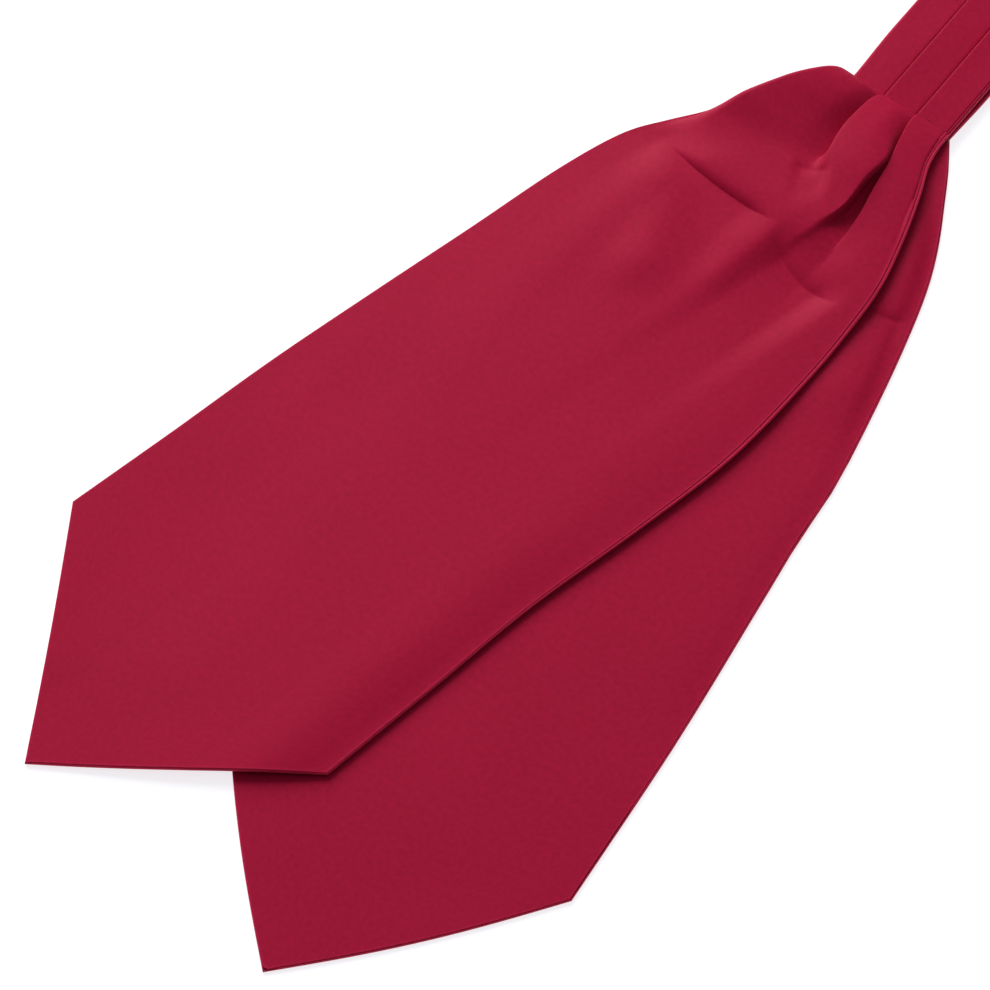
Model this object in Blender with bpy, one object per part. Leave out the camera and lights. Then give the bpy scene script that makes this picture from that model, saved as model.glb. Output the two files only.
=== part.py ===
"""A silk day cravat laid flat: two pointed blades and a pleated neckband folded in half.

Lengths in the tables are millimetres, measured from the middle of the front neck seam,
with +Y along the neckband, +X across it and Z up from the surface it lies on.
"""

import bmesh
import bpy
import numpy as np

MM = 0.001
SATIN_RED = (0.340, 0.0105, 0.038, 1.0)
SATIN_ROUGHNESS = 0.48

# Cloth: every blade is two plies, sewn right sides together and turned out.
PLY = 1.0
PLY_GAP = 0.3
HALF_GAP = PLY_GAP / 2
BLADE_THICKNESS = 2 * PLY + PLY_GAP
SEAM_GAP = 0.3
LAYER_GAP = 0.3

# Neckband: three pressed runs side by side, each run's left fold lying on the run before.
BAND_WIDTH = 47.0
BAND_LENGTH = 300.0
BAND_WALL = 2.3
BAND_UNDER_WALL = 3.0
BAND_LEAN = -2.0
SEAM_SKEW = 2.2
LOWER_RUN_SHIFT = 1.6
TURN_RADIUS = 1.5
TURN_RISE_LENGTH = 45.0
PLEAT_STEP = 1.3
PLEAT_OVERHANG = 1.6
PLEAT_NOSE = 0.45
OPEN_FOLD_SPACING = 1.0
# Height of each band run as a share of the pleat step: at its left, middle and right.
BAND_RUNS = [(0.35, 0.2, 0.0), (1.0, 0.5, 0.0), (1.0, 0.5, 0.15)]
NOSE_INSET = 0.012
BAND_ROWS = {"run": 5, "rise": 8, "turn": 8, "under": 8}

# Back blade: its centre line runs from the seam to the tip, the widths lie either side.
BACK_SEAM_MIDDLE = (0.7, 0.0)
BACK_TIP = (51.0, -449.0)
BACK_SHOULDER_AT = 365.0
BACK_COLUMNS = 12
BACK_NECK_EXTRA = 0.7
NECK_FADE = 60.0
BACK_WIDTHS = [
    # distance from seam, half width
    (0, 23.5),
    (12, 28.5),
    (26, 35.0),
    (44, 43.0),
    (65, 51.0),
    (90, 57.0),
    (120, 62.0),
    (160, 68.5),
    (220, 72.5),
    (290, 75.5),
    (365, 79.0),
]

# Front blade: straight sections from left edge to right edge, seam first.
FRONT_SECTIONS = [
    # left x, left y, right x, right y
    (-23.5, -2.2, 23.5, 2.2),
    (-31.0, -4.5, 24.5, -6.0),
    (-38.0, -13.0, 26.5, -16.0),
    (-45.0, -25.0, 31.0, -27.0),
    (-52.5, -38.0, 36.0, -40.0),
    (-59.5, -52.0, 40.5, -55.0),
    (-67.0, -66.0, 44.5, -71.0),
    (-77.0, -82.0, 48.0, -88.0),
    (-87.0, -111.0, 51.0, -122.0),
    (-97.0, -155.0, 49.0, -170.0),
    (-107.0, -200.0, 41.0, -218.0),
    (-118.0, -250.0, 30.5, -270.0),
    (-127.0, -300.0, 25.0, -320.0),
]
FRONT_LEFT_SHOULDER = (-136.0, -349.0)
FRONT_TIP = (-74.0, -444.0)
FRONT_RIGHT_SHOULDER = (17.0, -374.0)
POINT_BOW = 1.6

# The form lines run down the front blade; where each crosses a section, as a share of its width.
FORM_LINES = ("edge", "side", "puff", "fold_b", "crown", "brow", "hollow", "fold_c", "strip", "hem")
LINE_PLACES = [
    (0.00, 0.08, 0.20, 0.33, 0.50, 0.60, 0.635, 0.67, 0.83, 1.00),
    (0.00, 0.07, 0.21, 0.38, 0.55, 0.650, 0.697, 0.74, 0.87, 1.00),
    (0.00, 0.06, 0.22, 0.42, 0.58, 0.695, 0.745, 0.79, 0.89, 1.00),
    (0.00, 0.05, 0.23, 0.46, 0.60, 0.700, 0.750, 0.79, 0.89, 1.00),
    (0.00, 0.05, 0.25, 0.50, 0.61, 0.685, 0.740, 0.785, 0.88, 1.00),
    (0.00, 0.05, 0.26, 0.51, 0.61, 0.680, 0.740, 0.79, 0.88, 1.00),
    (0.00, 0.06, 0.25, 0.49, 0.59, 0.655, 0.720, 0.79, 0.88, 1.00),
    (0.00, 0.08, 0.25, 0.46, 0.57, 0.650, 0.720, 0.79, 0.88, 1.00),
    (0.00, 0.09, 0.25, 0.43, 0.54, 0.640, 0.710, 0.78, 0.88, 1.00),
    (0.00, 0.10, 0.25, 0.40, 0.50, 0.600, 0.690, 0.77, 0.87, 1.00),
]
# How far the cloth stands above where it would rest, on the same lines and sections.
LINE_HEIGHTS = [
    (0.0, 0.0, 0.0, 0.0, 0.0, 0.0, 0.0, 0.0, 0.0, 0.0),
    (1.2, 6.2, 5.2, 1.4, 2.4, 1.3, 0.6, 1.2, 0.9, 0.6),
    (1.2, 9.0, 8.4, 3.2, 5.8, 3.8, 1.4, 3.0, 2.4, 1.6),
    (0.8, 10.8, 10.4, 5.0, 9.0, 7.0, 1.2, 4.4, 3.6, 2.6),
    (0.5, 11.0, 11.8, 7.5, 12.0, 9.5, 0.9, 5.0, 4.2, 3.2),
    (0.2, 8.5, 10.8, 9.0, 12.0, 9.8, 0.8, 4.8, 4.3, 3.4),
    (0.0, 4.5, 8.0, 8.0, 9.3, 7.5, 0.9, 3.6, 3.8, 3.4),
    (0.0, 1.5, 4.0, 5.0, 5.8, 4.6, 1.3, 2.4, 3.1, 3.2),
    (0.0, 0.4, 1.5, 2.2, 2.6, 2.4, 1.8, 1.8, 2.2, 2.8),
    (0.0, 0.0, 0.2, 0.5, 0.6, 0.8, 0.8, 0.8, 1.1, 2.2),
    (0.0, 0.0, 0.0, 0.0, 0.0, 0.1, 0.2, 0.3, 0.6, 1.7),
    (0.0, 0.0, 0.0, 0.0, 0.0, 0.0, 0.0, 0.1, 0.4, 1.3),
    (0.0, 0.0, 0.0, 0.0, 0.0, 0.0, 0.0, 0.0, 0.3, 1.0),
    (0.0, 0.0, 0.0, 0.0, 0.0, 0.0, 0.0, 0.0, 0.1, 0.4),
]
# Where each pleat on the front blade opens: last section at full step, section where it is flat.
PLEAT_ENDS = {"fold_b": (2.5, 5.0), "fold_c": (5.0, 7.0)}
COLUMNS_PER_SPAN = (2, 3, 4, 3, 2, 3, 2, 3, 3)
ROWS_PER_SECTION = (3, 3, 3, 3, 3, 3, 3, 3, 2, 2, 2, 2, 6)

# The front blade climbs from the surface onto the back blade over this width, left of it.
CLIMB_START = 32.0
CLIMB_WIDTH = 24.0


def smooth(x):
    x = np.clip(x, 0.0, 1.0)
    return x * x * (3 - 2 * x)


def through(rows, at, rounded=False):
    """Values at `at` on curves through a table's rows: rounded ones, or ones with no overshoot."""
    rows = np.asarray(rows, float)
    steps = np.diff(rows, axis=0)
    left, right = steps[:-1], steps[1:]
    same_way = left * right > 0
    total = np.where(same_way, left + right, 1.0)
    slopes = np.zeros_like(rows)
    slopes[1:-1] = np.where(same_way, 2 * left * right / total, 0.0)
    if rounded:
        slopes[1:-1] = (left + right) / 2
    slopes[0], slopes[-1] = steps[0], steps[-1]
    index = np.clip(np.floor(at).astype(int), 0, len(rows) - 2)
    t = (at - index).reshape((-1,) + (1,) * (rows.ndim - 1))
    a, b = rows[index], rows[index + 1]
    return (a * (1 + 2 * t) * (1 - t) ** 2 + b * t * t * (3 - 2 * t)
            + slopes[index] * t * (1 - t) ** 2 - slopes[index + 1] * t * t * (1 - t))


def spaced(counts):
    """Steps through each span of a table, so many to a span, with both ends."""
    parts = [span + np.arange(count) / count for span, count in enumerate(counts)]
    return np.append(np.concatenate(parts), len(counts))


def surface_normals(points, upright_rows):
    """Unit normals, upright at the sewn end and turning to the form's own by a few rows on."""
    along = np.gradient(points, axis=0)
    across = np.gradient(points, axis=1)
    normals = np.cross(across, -along)
    normals /= np.linalg.norm(normals, axis=2, keepdims=True)
    own = smooth(np.arange(len(points)) / upright_rows)[:, None, None]
    normals = normals * own + np.array([0.0, 0.0, 1.0]) * (1 - own)
    return normals / np.linalg.norm(normals, axis=2, keepdims=True)


def back_half_width(distance):
    table = np.array(BACK_WIDTHS, float)
    fine = np.linspace(0, len(table) - 1, 400)
    curve = through(table, fine, rounded=True)
    return np.interp(distance, curve[:, 0], curve[:, 1])


def back_axes():
    start, tip = np.array(BACK_SEAM_MIDDLE), np.array(BACK_TIP)
    length = np.linalg.norm(tip - start)
    down = (tip - start) / length
    return start, down, np.array([-down[1], down[0]]), length


def inside_back_blade(xy):
    """Distance in from the back blade's hidden left side, negative outside it."""
    start, down, right, length = back_axes()
    offset = xy - start
    along = offset @ down
    side = offset @ right + back_half_width(np.clip(along, 0, BACK_SHOULDER_AT))
    rise = length - BACK_SHOULDER_AT
    reach = back_half_width(BACK_SHOULDER_AT)
    point = ((length - along) * reach + (offset @ right) * rise) / np.hypot(reach, rise)
    return np.minimum(side, point)


def neck_extra(y):
    return BACK_NECK_EXTRA * (1 - smooth(-y / NECK_FADE))


def front_rest_height(xy):
    """Height of the front blade's middle where it simply lies on what is under it."""
    climb = smooth((inside_back_blade(xy) + CLIMB_START) / CLIMB_WIDTH)
    on_back = BLADE_THICKNESS + LAYER_GAP + neck_extra(xy[..., 1])
    return BLADE_THICKNESS / 2 + climb * on_back


def pointed_end(share, left, tip, right):
    """Points along a blade's pointed end, whose two sides bow out a little."""
    left, tip, right = np.array(left), np.array(tip), np.array(right)
    ends = []
    for start, end, along in ((left, tip, 2 * share), (tip, right, 2 * share - 1)):
        side = end - start
        outward = np.array([side[1], -side[0]]) / np.linalg.norm(side)
        bow = POINT_BOW * np.sin(np.pi * np.clip(along, 0, 1))
        ends.append(start + side * along[..., None] + outward * bow[..., None])
    return np.where(share[..., None] < 0.5, ends[0], ends[1])


def front_middle(sections, lines):
    """Points midway through the front blade, for section and form line numbers."""
    last = len(FRONT_SECTIONS) - 1
    straight = through(FRONT_SECTIONS, np.minimum(sections, last), rounded=True)
    near = through(LINE_PLACES, np.minimum(sections, len(LINE_PLACES) - 1))
    share = np.stack([through(row, lines) for row in near])
    left, right = straight[:, None, :2], straight[:, None, 2:]
    xy = left + (right - left) * share[..., None]
    point = pointed_end(share, FRONT_LEFT_SHOULDER, FRONT_TIP, FRONT_RIGHT_SHOULDER)
    to_point = np.clip(sections - last, 0, 1)[:, None, None]
    xy = xy + (point - xy) * to_point
    heights = through(LINE_HEIGHTS, sections)
    stand = np.stack([through(row, lines) for row in heights])
    z = front_rest_height(xy) + stand
    return np.concatenate([xy, z[..., None]], axis=2)


def front_columns():
    """Line numbers for the middle and the top, and each top column's height in its pleat."""
    middle, top, lift, pleat = [], [], [], []
    folds = [FORM_LINES.index(name) for name in PLEAT_ENDS]
    for line in spaced(COLUMNS_PER_SPAN):
        if line in folds:
            middle += [line - 0.04, line, line + 0.04]
            top += [line, line, line]
            lift += [0.0, PLEAT_NOSE, 1.0]
            pleat += [folds.index(line)] * 3
            continue
        middle.append(line)
        top.append(line)
        passed = [fold for fold in folds if fold < line]
        after = [fold for fold in folds if fold > line] + [len(FORM_LINES) - 1]
        lift.append((after[0] - line) / (after[0] - passed[-1]) if passed else 0.0)
        pleat.append(len(passed) - 1 if passed else 0)
    return np.array(middle), np.array(top), np.array(lift), np.array(pleat)


def front_plies():
    sections = spaced(ROWS_PER_SECTION)
    middle_lines, top_lines, lift, pleat = front_columns()
    at_fold = np.isin(top_lines, [FORM_LINES.index(name) for name in PLEAT_ENDS])
    middle = front_middle(sections, middle_lines)
    normals = surface_normals(middle, ROWS_PER_SECTION[0])
    ends = np.array(list(PLEAT_ENDS.values()))
    step = 1 - smooth((sections[:, None] - ends[pleat, 0]) / (ends[pleat, 1] - ends[pleat, 0]))
    upper = front_middle(sections, top_lines)
    upper = upper + normals * (HALF_GAP + PLY + PLEAT_STEP * lift * step)[..., None]
    across = np.gradient(middle, axis=1)
    across = across / np.linalg.norm(across, axis=2, keepdims=True)
    tuck = at_fold * (1 - lift) * PLEAT_OVERHANG
    open_out = at_fold * np.sign(lift - PLEAT_NOSE) * OPEN_FOLD_SPACING
    upper = upper + across * (tuck * step + open_out * (1 - step))[..., None]
    face = (middle + normals * HALF_GAP, upper)
    backing = (middle - normals * (HALF_GAP + PLY), middle - normals * HALF_GAP)
    return face, backing


def back_plies():
    start, down, right, length = back_axes()
    distances = np.array([row[0] for row in BACK_WIDTHS], float)
    rows = np.sort(np.append(distances[:-1], (distances[:-1] + distances[1:]) / 2))
    share = np.linspace(-1, 1, BACK_COLUMNS + 1)
    xy = (start + rows[:, None, None] * down
          + (back_half_width(rows)[:, None] * share)[..., None] * right)
    square = (1 - smooth(rows / NECK_FADE))[:, None] * share
    xy[..., 1] += square * (SEAM_SKEW - right[1] * back_half_width(rows)[:, None]) - SEAM_GAP
    reach = back_half_width(BACK_SHOULDER_AT)
    shoulders = start + BACK_SHOULDER_AT * down
    last = pointed_end((1 + share) / 2, shoulders - reach * right, BACK_TIP,
                       shoulders + reach * right)
    half_way = (xy[-1] + last) / 2
    xy = np.concatenate([xy, half_way[None], last[None]])
    level = np.zeros(xy.shape[:2] + (1,))
    floor = np.concatenate([xy, level], axis=2)
    up = np.array([0.0, 0.0, 1.0])
    thick = (BLADE_THICKNESS + neck_extra(xy[..., 1]))[..., None]
    face = (floor, floor + up * PLY)
    backing = (floor + up * (PLY + PLY_GAP), floor + up * thick)
    return face, backing


def band_profile():
    """Across the band: place of inner and outer points, and the outer points' lift."""
    inner, outer, lift = [], [], []
    width = 1 / len(BAND_RUNS)
    for run, (left, middle, right) in enumerate(BAND_RUNS):
        start = run * width
        if run:
            inner += [start, start + NOSE_INSET]
            outer += [start + NOSE_INSET / 2, start]
            lift += [PLEAT_NOSE, left]
        else:
            inner.append(start)
            outer.append(start)
            lift.append(left)
        last = run == len(BAND_RUNS) - 1
        inner += [start + width / 2, start + width - (0 if last else NOSE_INSET)]
        outer += [start + width / 2, start + width + (0 if last else PLEAT_OVERHANG / BAND_WIDTH)]
        lift += [middle, right]
    return np.array(inner), np.array(outer), np.array(lift)


def band_path():
    """Inner line of the band from the front seam, over the turn and back beneath."""
    half = BAND_LENGTH / 2
    level = BAND_UNDER_WALL + LAYER_GAP
    rise = 2 * TURN_RADIUS - LAYER_GAP
    rise_at = half - TURN_RISE_LENGTH
    flat = np.linspace(SEAM_GAP, rise_at, BAND_ROWS["run"], endpoint=False)
    rising = np.linspace(rise_at, half, BAND_ROWS["rise"], endpoint=False)
    path = [(y, level + rise * smooth((y - rise_at) / TURN_RISE_LENGTH))
            for y in np.concatenate([flat, rising])]
    for angle in np.linspace(0, np.pi, BAND_ROWS["turn"], endpoint=False):
        path.append((half + TURN_RADIUS * np.sin(angle),
                     BAND_UNDER_WALL + TURN_RADIUS * (1 + np.cos(angle))))
    path += [(y, BAND_UNDER_WALL) for y in np.linspace(half, 0, BAND_ROWS["under"] + 1)]
    return np.array(path)


def neckband():
    inner_at, outer_at, lift = band_profile()
    path = band_path()
    under_rows = BAND_ROWS["under"] + 1
    tangent = np.gradient(path, axis=0)
    tangent[-under_rows:] = (-1.0, 0.0)
    tangent[0] = (1.0, 0.0)
    tangent /= np.linalg.norm(tangent, axis=1, keepdims=True)
    outward = np.stack([-tangent[:, 1], tangent[:, 0]], axis=1)
    turned = np.arange(len(path)) - (len(path) - under_rows - BAND_ROWS["turn"])
    under = smooth(turned / BAND_ROWS["turn"])
    y, z = path[:, 0], path[:, 1]
    lean = BAND_LEAN * y / 50 + LOWER_RUN_SHIFT * under * smooth((y + 15) / 45)
    wall = BAND_WALL + PLEAT_STEP * lift[None, :] * (1 - under[:, None])
    wall += (BAND_UNDER_WALL - BAND_WALL) * under[:, None]
    skew = SEAM_SKEW * (1 - smooth(y / NECK_FADE))

    def place(at, off):
        side = 2 * at - 1
        x = lean[:, None] + side * BAND_WIDTH / 2
        yy = y[:, None] + outward[:, :1] * off + side * skew[:, None]
        zz = z[:, None] + outward[:, 1:] * off
        return np.stack([x, yy, zz], axis=2)

    inner_rows = np.broadcast_to(inner_at, wall.shape)
    outer_rows = outer_at + (inner_at - outer_at) * smooth(2 * under)[:, None]
    return place(inner_rows, np.zeros(wall.shape)), place(outer_rows, wall)


def make_wall(name, lower, upper, centre, material):
    """A closed wall: a grid of faces extruded, then its two sides put where they belong."""
    rows, columns = lower.shape[:2]
    bm = bmesh.new()
    bmesh.ops.create_grid(bm, x_segments=columns - 1, y_segments=rows - 1, size=1.0)
    extruded = bmesh.ops.extrude_face_region(bm, geom=bm.faces[:])
    for item in extruded["geom"]:
        if isinstance(item, bmesh.types.BMVert):
            item.co.z = 1.0
    for vert in bm.verts:
        column = round((vert.co.x + 1) / 2 * (columns - 1))
        row = round((vert.co.y + 1) / 2 * (rows - 1))
        side = upper if vert.co.z > 0.5 else lower
        vert.co = (side[row, column] - centre) * MM
    bmesh.ops.recalc_face_normals(bm, faces=bm.faces)
    if bm.calc_volume(signed=True) < 0:
        bmesh.ops.reverse_faces(bm, faces=bm.faces)
    mesh = bpy.data.meshes.new(name)
    bm.to_mesh(mesh)
    bm.free()
    mesh.materials.append(material)
    obj = bpy.data.objects.new(name, mesh)
    bpy.context.scene.collection.objects.link(obj)
    return obj


def satin(name):
    material = bpy.data.materials.new(name)
    material.use_nodes = True
    shader = material.node_tree.nodes["Principled BSDF"]
    shader.inputs["Base Color"].default_value = SATIN_RED
    shader.inputs["Roughness"].default_value = SATIN_ROUGHNESS
    shader.inputs["Metallic"].default_value = 0.0
    return material


def build():
    for obj in list(bpy.data.objects):
        bpy.data.objects.remove(obj)
    front_face, front_backing = front_plies()
    back_face, back_backing = back_plies()
    walls = {
        "front_blade_face": front_face,
        "front_blade_backing": front_backing,
        "back_blade_face": back_face,
        "back_blade_backing": back_backing,
        "neckband": neckband(),
    }
    points = np.concatenate([side.reshape(-1, 3) for wall in walls.values() for side in wall])
    low, high = points.min(axis=0), points.max(axis=0)
    centre = np.array([(low[0] + high[0]) / 2, (low[1] + high[1]) / 2, 0.0])
    print("size mm", (high - low).round(2), "lowest", low[2].round(4), "centre", centre.round(3))
    for name, (lower, upper) in walls.items():
        make_wall(name, lower, upper, centre, satin(name + "_satin"))


build()
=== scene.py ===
# %% [markdown]
# # A silk day cravat, laid flat
#
# A day cravat is one long tie: two wide pointed blades joined by a narrow neckband. Each blade
# is two plies of satin sewn round the edge and turned out. At the neck end it is knife-pleated
# into three runs and sewn to the band, which carries the same three pleats along its length.
# Here the cravat lies folded in half at the band, the front blade fanned to the left over the
# back blade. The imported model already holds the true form; this script dresses it with thin
# rounded plies, creases, seams, stitches and a satin finish.

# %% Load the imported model
import math

import bmesh
import bpy
import numpy as np
from mathutils import Matrix, Vector


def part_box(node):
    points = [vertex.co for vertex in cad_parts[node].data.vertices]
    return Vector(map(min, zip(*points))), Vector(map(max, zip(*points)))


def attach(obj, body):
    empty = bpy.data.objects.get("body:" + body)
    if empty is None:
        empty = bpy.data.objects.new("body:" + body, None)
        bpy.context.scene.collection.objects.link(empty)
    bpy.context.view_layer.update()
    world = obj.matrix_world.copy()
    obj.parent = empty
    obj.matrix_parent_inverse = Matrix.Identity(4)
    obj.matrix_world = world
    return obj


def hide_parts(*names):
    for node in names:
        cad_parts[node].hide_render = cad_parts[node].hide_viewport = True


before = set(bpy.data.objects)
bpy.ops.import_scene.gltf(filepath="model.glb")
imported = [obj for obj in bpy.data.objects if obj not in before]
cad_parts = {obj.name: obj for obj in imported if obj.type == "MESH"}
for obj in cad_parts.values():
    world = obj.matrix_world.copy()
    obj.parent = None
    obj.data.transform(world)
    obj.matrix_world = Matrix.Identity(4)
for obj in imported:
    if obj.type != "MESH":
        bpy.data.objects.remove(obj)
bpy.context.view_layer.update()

# %% [markdown]
# The tables below are in millimetres on a cutter's own axes: zero at the middle of the front
# neck seam, +Y up the neckband, +X across it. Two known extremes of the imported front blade, its
# leftmost point and its tip, tell how far those axes lie from the frame's.

# %% Place the cutter's axes on the frame
MM = 0.001
PACKED_LEFT = -136.0
PACKED_TIP = -444.0
packed_low, packed_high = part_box("front_blade_face")
seam_origin = np.array([packed_low[0] / MM - PACKED_LEFT, packed_low[1] / MM - PACKED_TIP, 0.0])
print("neck seam middle in the frame, mm:", seam_origin.round(2))


def to_frame(points):
    return (np.asarray(points, float) + seam_origin) * MM


# %% [markdown]
# ## The camera
#
# The photo is taken with a long lens from about 62 degrees above the surface, with the band
# running off to the upper right. A long lens far away keeps both blades' edges nearly parallel.

# %% Camera
PHOTO_SIDE = 990
LENS_MM = 180.0
SENSOR_MM = 36.0
CAMERA_AZIMUTH = math.radians(40)
CAMERA_ELEVATION = math.radians(62)
PIXELS_PER_MM = 2.562
AIM = (-13.06, -240.51, 0.0)
distance = PHOTO_SIDE * LENS_MM / SENSOR_MM / PIXELS_PER_MM
away = Vector((math.sin(CAMERA_AZIMUTH) * math.cos(CAMERA_ELEVATION),
               -math.cos(CAMERA_AZIMUTH) * math.cos(CAMERA_ELEVATION),
               math.sin(CAMERA_ELEVATION)))
camera_data = bpy.data.cameras.new("Camera")
camera_data.lens = LENS_MM
camera_data.sensor_width = SENSOR_MM
camera_data.clip_end = 20
camera = bpy.data.objects.new("Camera", camera_data)
bpy.context.scene.collection.objects.link(camera)
camera.location = Vector(to_frame(AIM)) + away * distance * MM
camera.rotation_euler = away.to_track_quat("Z", "Y").to_euler()
bpy.context.scene.camera = camera
print("camera distance, m:", round(distance * MM, 3))

# %% [markdown]
# ## Surface and light
#
# A white surface under a soft overcast-like light, with one broad softbox beyond the top left
# of the picture. It is low enough to leave soft shadows on the lower right of every fold.

# %% Floor and lights
FLOOR_SIDE = 6.0
FLOOR_DROP = 0.0002
FLOOR_GREY = (0.36, 0.36, 0.37, 1)
FLOOR_GLOW = (0.97, 0.97, 1.0, 1)
FLOOR_GLOW_STRENGTH = 0.78
SURROUND = (1.0, 0.99, 1.0, 1)
SURROUND_STRENGTH = 0.20


def make_floor():
    bm = bmesh.new()
    bmesh.ops.create_grid(bm, x_segments=1, y_segments=1, size=FLOOR_SIDE / 2)
    bmesh.ops.translate(bm, verts=bm.verts, vec=(0, 0, -FLOOR_DROP))
    mesh = bpy.data.meshes.new("floor")
    bm.to_mesh(mesh)
    bm.free()
    floor = bpy.data.objects.new("floor", mesh)
    bpy.context.scene.collection.objects.link(floor)
    paint = bpy.data.materials.new("pale_floor")
    paint.use_nodes = True
    shader = paint.node_tree.nodes["Principled BSDF"]
    shader.inputs["Base Color"].default_value = FLOOR_GREY
    shader.inputs["Roughness"].default_value = 0.9
    shader.inputs["Specular IOR Level"].default_value = 0.1
    shader.inputs["Emission Color"].default_value = FLOOR_GLOW
    shader.inputs["Emission Strength"].default_value = FLOOR_GLOW_STRENGTH
    mesh.materials.append(paint)


def add_softbox(name, azimuth, elevation, reach, side, power):
    """An area light that looks at the cravat; azimuth is counted as the camera's is."""
    turn, lift = math.radians(azimuth), math.radians(elevation)
    toward = Vector((math.sin(turn) * math.cos(lift), -math.cos(turn) * math.cos(lift),
                     math.sin(lift)))
    light = bpy.data.lights.new(name, "AREA")
    light.size = side
    light.energy = power
    box = bpy.data.objects.new(name, light)
    bpy.context.scene.collection.objects.link(box)
    box.location = Vector(to_frame(AIM)) + toward * reach
    box.rotation_euler = toward.to_track_quat("Z", "Y").to_euler()


make_floor()
add_softbox("key_softbox", azimuth=-122, elevation=33, reach=2.6, side=2.0, power=104)
add_softbox("top_softbox", azimuth=170, elevation=75, reach=2.8, side=2.4, power=9)
world = bpy.data.worlds.new("studio")
world.use_nodes = True
surround = world.node_tree.nodes["Background"]
surround.inputs["Color"].default_value = SURROUND
surround.inputs["Strength"].default_value = SURROUND_STRENGTH
bpy.context.scene.world = world
bpy.context.scene.view_settings.view_transform = "Standard"
print("floor, two softboxes and a pale surround")

# %% [markdown]
# ## Smooth curves through short tables
#
# Each table has one row for a section or a line. `through` reads it between the rows: rounded
# for outlines, or with no overshoot for heights, so a flat row stays flat.

# %% Curve helpers


def smooth(x):
    """A soft step from 0 to 1."""
    x = np.clip(x, 0.0, 1.0)
    return x * x * (3 - 2 * x)


def through(rows, at, rounded=False):
    """A table read at any place between its rows, on one smooth curve."""
    rows = np.asarray(rows, float)
    steps = np.diff(rows, axis=0)
    left, right = steps[:-1], steps[1:]
    same_way = left * right > 0
    slopes = np.zeros_like(rows)
    slopes[1:-1] = np.where(same_way, 2 * left * right / np.where(same_way, left + right, 1.0), 0.0)
    if rounded:
        slopes[1:-1] = (left + right) / 2
    slopes[0], slopes[-1] = steps[0], steps[-1]
    index = np.clip(np.floor(at).astype(int), 0, len(rows) - 2)
    t = (at - index).reshape(np.shape(at) + (1,) * (rows.ndim - 1))
    return (rows[index] * (1 + 2 * t) * (1 - t) ** 2 + rows[index + 1] * t * t * (3 - 2 * t)
            + slopes[index] * t * (1 - t) ** 2 - slopes[index + 1] * t * t * (1 - t))


def spaced(counts):
    """Row or column places in whole spans, each span cut into its own count of steps."""
    parts = [span + np.arange(count) / count for span, count in enumerate(counts)]
    return np.append(np.concatenate(parts), len(counts))


# %% [markdown]
# ## Thickness
#
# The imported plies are 1 mm walls so that they are solid. The real silk is thinner, so each ply
# here is a thin pillow with a rounded edge, and the two together stay just inside the packed
# wall. The turned ply rolls up a little beyond the shown ply's edge, which is the thin rim that
# a maker gets by favouring the seam. Near the neck the hidden pleats make the blade thicker.

# %% Cloth thickness
PLY = 0.70
PLY_GAP = 0.08
BLADE = 2 * PLY + PLY_GAP
LAYER_GAP = 0.10
NECK_FADE = 60.0
SEAM_TOP = 5.60
BACK_NECK_EXTRA = 3.0 - BLADE
FRONT_NECK_EXTRA = SEAM_TOP - PLY - PLY_GAP / 2 - BLADE / 2 - BLADE - LAYER_GAP
EDGE_RADIUS = 0.26
EDGE_LEAST = 0.06
BACK_RIM = 0.70
LEFT_RIM = 0.12
END_RIM = 0.55
RIM_ROLL = 0.62
FULL_ROLL_RIM = 0.5
SHOWN_GAPS = np.array([0.0, 0.05, 0.12, 0.20, 0.30, 0.50, 0.75, 1.0, 1.25])
TURNED_GAPS = np.array([
    # mm from the edge, share of the rim
    (0.00, 0.0),
    (0.05, 0.0),
    (0.14, 0.0),
    (0.28, 0.0),
    (-0.15, 1.0),
    (-0.03, 1.0),
    (0.12, 1.0),
    (0.50, 1.0),
])
print("two plies together, mm:", round(BLADE, 2))


def edge_round(distance):
    """Share of its full thickness that a ply has at a distance from its edge."""
    depth = 1 - np.clip(distance / EDGE_RADIUS, 0, 1)
    return np.sqrt(np.clip(1 - depth ** 2, 0, 1)) * (1 - EDGE_LEAST) + EDGE_LEAST


def rim_rise(distance, rim):
    """How far the turned side rolls up beyond the shown side's edge, in mm."""
    rolled = smooth((rim - 0.04 - distance) / 0.10) * np.clip(rim / FULL_ROLL_RIM, 0, 1) ** 2
    return RIM_ROLL * rolled * edge_round(distance)


def end_rim(share):
    """The rim of the pointed end, which shows on its right side only."""
    return LEFT_RIM + (END_RIM - LEFT_RIM) * smooth((share - 0.47) / 0.06)


# %% [markdown]
# ## From a grid to a closed ply
#
# A ply starts as a flat bmesh grid whose vertices stand at whole row and column numbers. The
# grid is extruded once, which closes it, and then every vertex goes to the place worked out for
# its row, column and side. The same numbers give the cloth's UV map, in metres of flat cloth, and
# mark how near each vertex is to a hem, as a 'hem' weight that the satin uses for a painted
# highlight along the edges.

# %% Ply builder
# Reach of the painted highlight along the hems, in mm.
PAINTED_HIGHLIGHT_REACH = 0.30


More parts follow.
